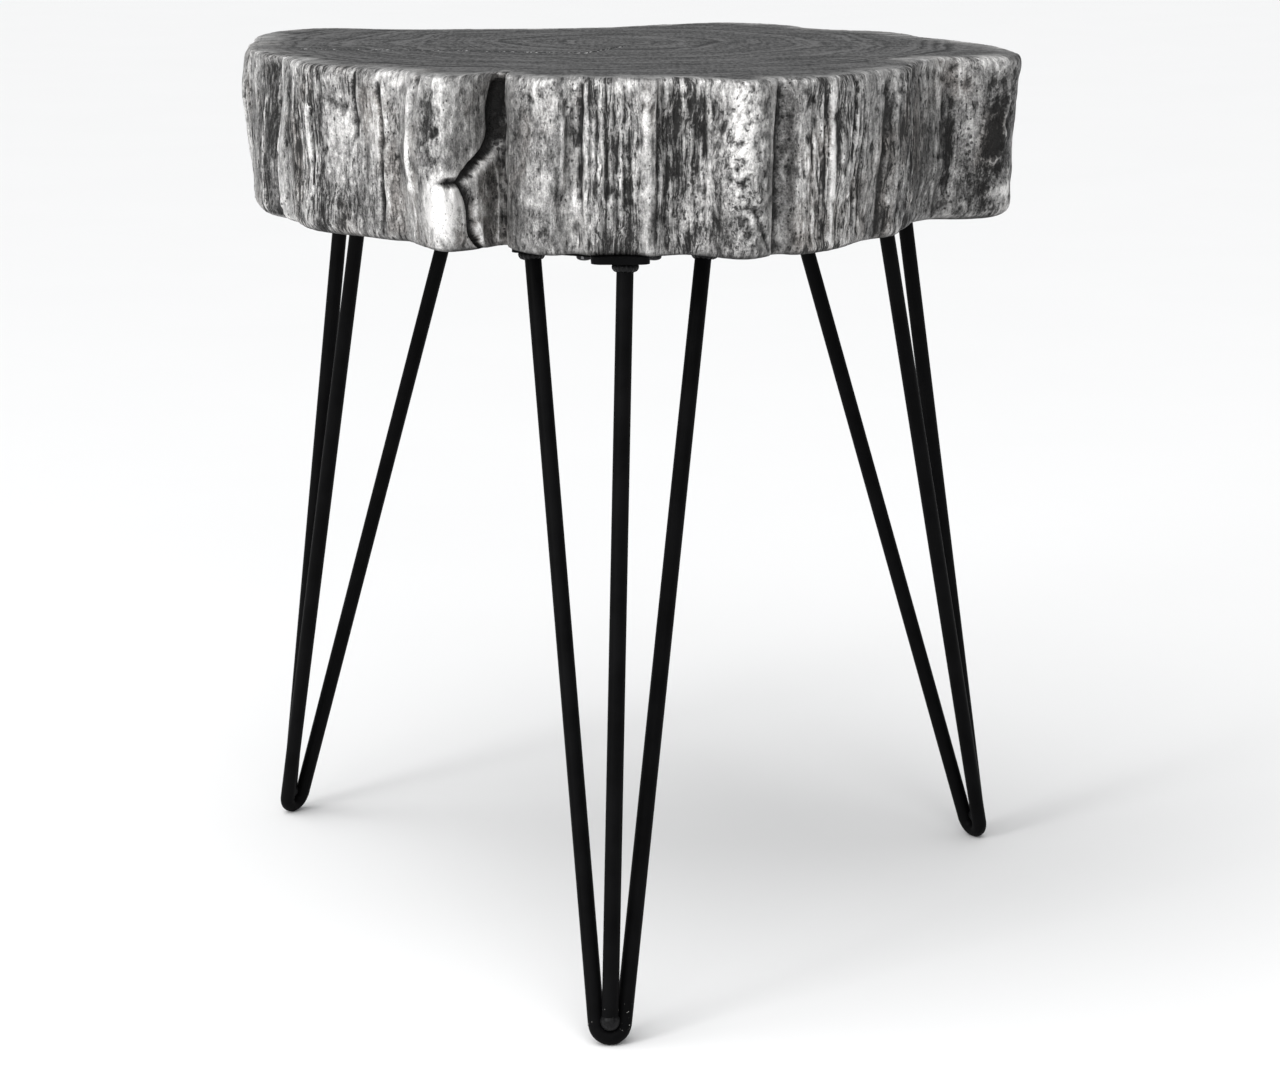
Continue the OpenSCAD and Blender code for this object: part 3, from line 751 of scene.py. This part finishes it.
class Rings:
    """Rings of points under, up and over the slice, with what the finish reads at each point."""

    READ = ("hollow", "fibres", "inward", "under", "polish", "crumple")

    def __init__(self, sheet):
        self.round_x = np.cos(sheet.turn) * sheet.girth_radius
        self.round_y = np.sin(sheet.turn) * sheet.girth_radius
        self.spots = []
        self.places = []
        self.values = {name: [] for name in self.READ}

    def add(self, x, y, z, place_up, **values):
        ones = np.ones(AROUND)
        self.spots.append(np.stack([x, y, z * ones], 1))
        self.places.append(np.stack([self.round_x, self.round_y, place_up * ones], 1))
        for name, row in self.values.items():
            row.append(values.get(name, 0.0) * ones)

    def add_hub(self, x, y, z, place_up, **values):
        self.spots.append([[x, y, z]])
        self.places.append([[0.0, 0.0, place_up]])
        for name, row in self.values.items():
            row.append([values.get(name, 0.0)])

    def faces(self):
        """Bands between the rings, then a fan round each of the two hubs."""
        band = np.arange(AROUND)
        after = (band + 1) % AROUND
        count = len(self.spots) - 2
        found = []
        for k in range(count - 1):
            low = k * AROUND
            high = low + AROUND
            found += np.stack([low + band, low + after, high + after, high + band], 1).tolist()
        last = (count - 1) * AROUND
        low_hub = count * AROUND
        found += np.stack([after, band, np.full(AROUND, low_hub)], 1).tolist()
        found += np.stack([last + band, last + after, np.full(AROUND, low_hub + 1)], 1).tolist()
        return found

    def mesh(self, name):
        made = bpy.data.meshes.new(name)
        made.from_pydata(np.concatenate(self.spots).tolist(), [], self.faces())
        made.update()
        values = {key: np.concatenate(rows) for key, rows in self.values.items()}
        relief = np.stack([values[key] for key in self.READ[:4]], 1)
        layer = made.color_attributes.new("relief", "FLOAT_COLOR", "POINT")
        layer.data.foreach_set("color", relief.astype(np.float32).ravel())
        for key, numbers, kind, member in (
            ("bark_place", np.concatenate(self.places), "FLOAT_VECTOR", "vector"),
            ("polish", values["polish"], "FLOAT", "value"),
            ("crumple", values["crumple"], "FLOAT", "value"),
        ):
            layer = made.attributes.new(key, kind, "POINT")
            layer.data.foreach_set(member, np.asarray(numbers, np.float32).ravel())
        made.polygons.foreach_set("use_smooth", [True] * len(made.polygons))
        return made


def build_slice():
    tree = cad_tree("slab")
    angles, along, girth = even_angles(tree)
    lower = LOWER_ROUND * np.array([0.0, 0.1, 0.3, 0.6, 1.0])
    upper = SLAB_THICK - RIM_ROUND * np.array([1.0, 0.7, 0.45, 0.25, 0.1, 0.0])
    middle = np.linspace(lower[-1], upper[0], UP_ROWS + 1)[1:-1]
    sheet = BarkSheet(angles, along, girth, np.concatenate([lower, middle, upper]))
    radius = plain_side(tree, sheet)
    shape_bark(sheet)
    share = fibre_lobes(sheet)
    # Lighter and darker leaf: rubbed leaf and wash, with painted highlights and painted shade
    polish = polished_lobes(sheet)
    crumpled = crumpled_lobes(sheet)
    chips = sheet.grain(90, 50, 3, 6)
    weather(sheet, share, crumpled, chips)
    hollow = hollows(sheet)
    x, y = side_places(sheet, radius)
    # The lowest 3 mm of the side take the underside's black: painted shade along the lower edge
    lower_edge_painted_shade = np.clip(1 - sheet.up / (3.0 * MM), 0, 1)

    rings = Rings(sheet)
    for part in reversed(BOTTOM_RINGS):
        ring_x = x[:, 0] * (1 - part) + SLAB_MIDDLE.x * part
        ring_y = y[:, 0] * (1 - part) + SLAB_MIDDLE.y * part
        rings.add(ring_x, ring_y, SLAB_BOTTOM, 0.0, hollow=0.5, under=1.0)
    for k, height in enumerate(sheet.heights):
        drop = 0.0
        if height > SLAB_THICK - 1.2 * MM:
            drop = (0.2 + 0.3 * np.clip(chips[:, k], -0.5, 1)) * MM * (height / SLAB_THICK)
        rings.add(
            x[:, k], y[:, k], SLAB_BOTTOM + height - drop, height, hollow=hollow[:, k], fibres=share[:, k],
            under=lower_edge_painted_shade[:, k], polish=polish[:, k], crumple=crumpled[:, k],
        )
    # The worn rim falls away a little, and the leaf runs in over it as far as the scallops let it
    scallop = 0.5 + 0.5 * np.clip(sheet.grain(60, 1, 3, 7)[:, 0] * 1.6, -1, 1)
    worn_width = (3.5 + 5.0 * scallop) * MM
    leaf_reach = (16 + 34 * scallop) * MM
    for part in TOP_RINGS:
        ring_x = x[:, -1] * (1 - part) + PITH.x * part
        ring_y = y[:, -1] * (1 - part) + PITH.y * part
        inward = np.hypot(ring_x - x[:, -1], ring_y - y[:, -1])
        worn = np.clip(1 - inward / worn_width, 0, 1)
        reach = np.clip(inward / leaf_reach, 0, 1)
        rings.add(
            ring_x, ring_y, SLAB_TOP - (0.2 + 0.5 * scallop) * MM * worn ** 2, SLAB_THICK + inward,
            hollow=0.40, fibres=0.15, inward=reach,
            polish=polish[:, -1] * (1 - reach), crumple=crumpled[:, -1] * (1 - reach),
        )
    rings.add_hub(SLAB_MIDDLE.x, SLAB_MIDDLE.y, SLAB_BOTTOM, 0.0, hollow=0.5, under=1.0)
    rings.add_hub(PITH.x, PITH.y, SLAB_TOP, SLAB_THICK, hollow=0.34, fibres=0.15, inward=1.0)

    mesh = rings.mesh("log_slice")
    mesh.materials.append(silvered_slice())
    piece = bpy.data.objects.new("log_slice", mesh)
    bpy.context.scene.collection.objects.link(piece)
    return piece


# ---------------------------------------------------------------- screws and welds

class Shape(Graph):
    """A Geometry Nodes tree with named sizes, grown on the points of a mesh."""

    def __init__(self, name, sizes):
        super().__init__(bpy.data.node_groups.new(name, "GeometryNodeTree"))
        self.sizes = sizes
        self.sockets = {}
        self.tree.interface.new_socket("Geometry", in_out="INPUT", socket_type="NodeSocketGeometry")
        for size in sizes:
            socket = self.tree.interface.new_socket(size, in_out="INPUT", socket_type="NodeSocketFloat")
            self.sockets[size] = socket
        self.tree.interface.new_socket("Geometry", in_out="OUTPUT", socket_type="NodeSocketGeometry")
        self.start = self.node("NodeGroupInput")

    def size(self, name):
        return self.other_output(self.start, name)

    def vector(self, x, y, z):
        return self.node("ShaderNodeCombineXYZ", None, {"X": x, "Y": y, "Z": z})

    def place(self):
        made = self.node("ShaderNodeSeparateXYZ", None, {"Vector": self.node("GeometryNodeInputPosition")})
        return [self.other_output(made, name) for name in "XYZ"]

    def moved(self, geometry, position=None, offset=None):
        inputs = {"Geometry": geometry}
        if position is not None:
            inputs["Position"] = position
        if offset is not None:
            inputs["Offset"] = offset
        return self.node("GeometryNodeSetPosition", None, inputs)

    def profile(self, along, stops):
        """A value that runs in straight lines through (place, value) stops."""
        made = self.tree.nodes.new("ShaderNodeFloatCurve")
        points = made.mapping.curves[0].points
        for _ in range(len(stops) - 2):
            points.new(0.5, 0.5)
        for point, stop in zip(points, stops):
            point.location = stop
            point.handle_type = "VECTOR"
        made.mapping.update()
        self.tree.links.new(along.socket, made.inputs["Value"])
        return Value(self, made.outputs["Value"])

    def grown(self, name, points, turns, scales, instance, material):
        """The finished plain mesh: one instance on each point, realized and given its finish."""
        vector = {"data_type": "FLOAT_VECTOR"}
        turn = self.node("GeometryNodeInputNamedAttribute", vector, {"Name": "turn"})
        scale = self.node("GeometryNodeInputNamedAttribute", vector, {"Name": "scale"})
        spread = self.node("GeometryNodeInstanceOnPoints", None, {
            "Points": self.start, "Instance": instance, "Rotation": turn, "Scale": scale,
        })
        solid = self.node("GeometryNodeRealizeInstances", None, {"Geometry": spread})
        finished = self.node("GeometryNodeSetMaterial", None, {"Geometry": solid, "Material": material})
        self.node("NodeGroupOutput", None, {"Geometry": finished})
        seeds = bpy.data.meshes.new(name + "_places")
        seeds.from_pydata([tuple(point) for point in points], [], [])
        for key, values in (("turn", turns), ("scale", scales)):
            layer = seeds.attributes.new(key, "FLOAT_VECTOR", "POINT")
            layer.data.foreach_set("vector", np.asarray(values, np.float32).ravel())
        holder = bpy.data.objects.new(name + "_holder", seeds)
        bpy.context.scene.collection.objects.link(holder)
        modifier = holder.modifiers.new(name, "NODES")
        modifier.node_group = self.tree
        for size, value in self.sizes.items():
            modifier[self.sockets[size].identifier] = value
        bpy.context.view_layer.update()
        graph = bpy.context.evaluated_depsgraph_get()
        mesh = bpy.data.meshes.new_from_object(holder.evaluated_get(graph))
        mesh.name = name
        holder.modifiers.remove(modifier)
        bpy.data.objects.remove(holder)
        for attribute in ("turn", "scale"):
            if attribute in mesh.attributes:
                mesh.attributes.remove(mesh.attributes[attribute])
        piece = bpy.data.objects.new(name, mesh)
        bpy.context.scene.collection.objects.link(piece)
        return piece


def solids_of(name):
    """Lowest and highest corner of each separate solid of a CAD node."""
    work = bmesh.new()
    work.from_mesh(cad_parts[name].data)
    bmesh.ops.remove_doubles(work, verts=work.verts, dist=1e-6)
    left = set(work.verts)
    found = []
    while left:
        stack = [left.pop()]
        group = list(stack)
        while stack:
            for edge in stack.pop().link_edges:
                for vert in edge.verts:
                    if vert in left:
                        left.remove(vert)
                        stack.append(vert)
                        group.append(vert)
        low = Vector([min(vert.co[axis] for vert in group) for axis in range(3)])
        high = Vector([max(vert.co[axis] for vert in group) for axis in range(3)])
        found.append((low, high))
    work.free()
    return sorted(found, key=lambda pair: tuple(round(value, 4) for value in pair[0]))


def build_screws():
    """Pan-head wood screws with a cross recess, head down, as the plates hold them."""
    solids = solids_of("plate_screws")
    low, high = solids[0]
    head_wide = high.x - low.x
    shape = Shape("pan_head_screw", {
        "Head Diameter": head_wide, "Head Height": 0.36 * head_wide, "Shank Diameter": 0.47 * head_wide,
        "Length": high.z - low.z, "Thread Pitch": 2.0 * MM, "Thread Depth": 0.45 * MM,
        "Recess Width": 1.25 * MM, "Recess Span": 4.9 * MM, "Recess Depth": 1.7 * MM,
    })
    head = shape.size("Head Diameter") * 0.5
    shank = shape.size("Shank Diameter") * 0.5 - shape.size("Thread Depth")
    # One unit sheet is wrapped into the whole screw: u runs round it, v from the head to the point
    grid = {"Size X": 1.0, "Size Y": 1.0, "Vertices X": 29, "Vertices Y": 71}
    sheet = shape.node("GeometryNodeMeshGrid", None, grid)
    u, v, _ = shape.place()
    u = u + 0.5
    v = v + 0.5
    head_share = shape.profile(v, (
        (0.0, 0.0), (0.05, 0.30), (0.10, 0.62), (0.14, 0.86), (0.17, 0.965), (0.20, 1.0), (0.24, 1.0),
        (0.27, 0.0), (1.0, 0.0),
    ))
    head_rise = shape.profile(v, (
        (0.0, 0.0), (0.05, 0.02), (0.10, 0.10), (0.14, 0.26), (0.17, 0.46), (0.20, 0.70), (0.24, 1.0),
        (0.27, 1.0), (1.0, 1.0),
    ))
    shank_share = shape.profile(v, (
        (0.0, 0.0), (0.24, 0.0), (0.27, 1.0), (0.90, 1.0), (0.985, 0.25), (1.0, 0.0),
    ))
    shank_rise = shape.profile(v, ((0.0, 0.0), (0.27, 0.0), (0.90, 0.80), (0.985, 0.98), (1.0, 1.0)))
    z = shape.size("Head Height") * head_rise
    z = z + (shape.size("Length") - shape.size("Head Height")) * shank_rise
    winding = (z / shape.size("Thread Pitch") - u).calc("FRACT")
    crest = 1 - (winding - 0.5).calc("ABSOLUTE") * 2
    threaded = v.step(0.28, 0.32) * (1 - v.step(0.93, 0.98))
    radius = head * head_share + shank * shank_share + shape.size("Thread Depth") * crest * threaded
    angle = u * (2 * math.pi)
    body = shape.moved(sheet, shape.vector(radius * angle.calc("COSINE"), radius * angle.calc("SINE"), z))
    body = shape.node("GeometryNodeMergeByDistance", None, {"Geometry": body, "Distance": 0.002 * MM})
    arms = []
    # The second arm is cut a little deeper, so that no two floors lie in one plane
    for long_way, wide_way, deeper in (
        ("Recess Span", "Recess Width", 2.0), ("Recess Width", "Recess Span", 2.12),
    ):
        size = shape.vector(shape.size(long_way), shape.size(wide_way), shape.size("Recess Depth") * deeper)
        arms.append(shape.node("GeometryNodeMeshCube", None, {"Size": size}))
    for arm in arms:
        cut = shape.tree.nodes.new("GeometryNodeMeshBoolean")
        cut.operation = "DIFFERENCE"
        shape.tree.links.new(body.socket, cut.inputs["Mesh 1"])
        shape.tree.links.new(arm.socket, cut.inputs["Mesh 2"])
        body = Value(shape, cut.outputs["Mesh"])
    body = shape.node("GeometryNodeMergeByDistance", None, {"Geometry": body, "Distance": 0.01 * MM})
    points = [((low.x + high.x) / 2, (low.y + high.y) / 2, low.z) for low, high in solids]
    rng = np.random.default_rng(5)
    turns = [(0.0, 0.0, rng.uniform(0, math.pi)) for _ in points]
    scales = [(1.0, 1.0, 1.0)] * len(points)
    return shape.grown("plate_screw_set", points, turns, scales, body, screw_finish())


WELDED_NODES = ("front_plate_welds", "right_plate_welds", "left_plate_welds")


def build_beads():
    """Rippled weld beads round the rods where they meet the plates."""
    solids = [pair for name in WELDED_NODES for pair in solids_of(name)]
    tall = solids[0][1].z - solids[0][0].z
    across = solids[0][1].x - solids[0][0].x
    shape = Shape("weld_bead", {
        "Ring Radius": across / 2 - tall / 2, "Bead Radius": tall * 0.5,
        "Ripples": 17.0, "Ripple Depth": 0.22 * MM,
    })
    ring = shape.node("GeometryNodeCurvePrimitiveCircle", None, {
        "Resolution": 136, "Radius": shape.size("Ring Radius"),
    })
    section = shape.node("GeometryNodeCurvePrimitiveCircle", None, {
        "Resolution": 14, "Radius": shape.size("Bead Radius") - shape.size("Ripple Depth"),
    })
    bead = shape.node("GeometryNodeCurveToMesh", None, {"Curve": ring, "Profile Curve": section})
    x, y, z = shape.place()
    angle = y.calc("ARCTAN2", x)
    wave = (angle * shape.size("Ripples") + z / shape.size("Bead Radius") * 1.2).calc("SINE")
    lift = wave * shape.size("Ripple Depth")
    outward = shape.node("ShaderNodeVectorMath", {"operation": "SCALE"}, {
        0: shape.node("GeometryNodeInputNormal"), "Scale": lift,
    })
    bead = shape.moved(bead, None, outward)
    points = []
    scales = []
    for low, high in solids:
        middle = (low + high) / 2
        points.append((middle.x, middle.y, middle.z))
        scales.append(((high.x - low.x) / across, (high.y - low.y) / across, 1.0))
    turns = [(0.0, 0.0, 0.0)] * len(points)
    return shape.grown("plate_weld_beads", points, turns, scales, bead, weld_finish("plate_weld_coat"))


# ---------------------------------------------------------------- stage, light and camera

def area_light(name, place, aim, size, power, colour=(1.0, 1.0, 1.0)):
    light = bpy.data.lights.new(name, "AREA")
    light.shape = "RECTANGLE"
    light.size, light.size_y = size
    light.energy = power
    light.color = colour
    lamp = bpy.data.objects.new(name, light)
    lamp.location = place
    lamp.rotation_euler = (Vector(aim) - Vector(place)).to_track_quat("-Z", "Y").to_euler()
    bpy.context.scene.collection.objects.link(lamp)


def build_stage():
    # The floor runs out far enough that its edge never shows
    half_width = 60.0
    mesh = bpy.data.meshes.new("floor")
    corners = [(x * half_width, y * half_width, 0) for x, y in ((-1, -1), (1, -1), (1, 1), (-1, 1))]
    mesh.from_pydata(corners, [], [(0, 1, 2, 3)])
    mesh.materials.append(studio_floor())
    floor = bpy.data.objects.new("floor", mesh)
    bpy.context.scene.collection.objects.link(floor)
    world = bpy.data.worlds.new("studio")
    world.use_nodes = True
    background = world.node_tree.nodes["Background"]
    background.inputs["Color"].default_value = (0.93, 0.94, 0.95, 1.0)
    background.inputs["Strength"].default_value = 0.42
    bpy.context.scene.world = world
    bpy.context.scene.view_settings.view_transform = "Standard"
    sky = bpy.data.lights.new("sky_panel", "SUN")
    sky.energy = 2.6
    sky.angle = math.radians(70)
    lamp = bpy.data.objects.new("sky_panel", sky)
    lamp.rotation_euler = Vector((0.38, 0.42, -1.0)).to_track_quat("-Z", "Y").to_euler()
    bpy.context.scene.collection.objects.link(lamp)
    area_light("left_softbox", (-1.9, -1.9, 1.2), (0.0, 0.0, 0.45), (0.6, 1.4), 26)
    area_light("front_softbox", (0.5, -2.6, 1.9), (0.0, 0.0, 0.5), (0.9, 0.5), 10)


def build_camera():
    camera = bpy.data.cameras.new("camera")
    camera.sensor_width = 36.0
    camera.lens = 92.81
    camera.clip_end = 200.0
    eye = bpy.data.objects.new("camera", camera)
    down, pan, roll = math.radians(77.47), math.radians(-0.21), math.radians(0.11)
    turn = Matrix.Rotation(pan, 4, "Z") @ Matrix.Rotation(down, 4, "X") @ Matrix.Rotation(roll, 4, "Z")
    place = Vector((1.3, -2105.9, 712.0)) * MM
    eye.matrix_world = Matrix.Translation(place) @ turn
    bpy.context.scene.collection.objects.link(eye)
    bpy.context.scene.camera = eye


# ---------------------------------------------------------------- the table

build_camera()
build_stage()

log_slice = build_slice()
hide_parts("slab")
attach(log_slice, ROOT)

screws = build_screws()
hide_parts("plate_screws")
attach(screws, ROOT)

beads = build_beads()
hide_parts(*WELDED_NODES)
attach(beads, ROOT)

leg_coat = powder_coat("leg_powder_coat", 0.0, 0.0)
front_coat = powder_coat("front_foot_coat", 8 * MM, 26 * MM)
foot_coat = weld_finish("foot_weld_coat")
for name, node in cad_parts.items():
    if name.endswith("foot_weld"):
        finish = foot_coat
    elif name.startswith("front") and not name.endswith("plate"):
        finish = front_coat
    else:
        finish = leg_coat
    if name not in ("slab", "plate_screws", *WELDED_NODES):
        for slot in node.material_slots:
            slot.material = finish

bpy.context.view_layer.update()
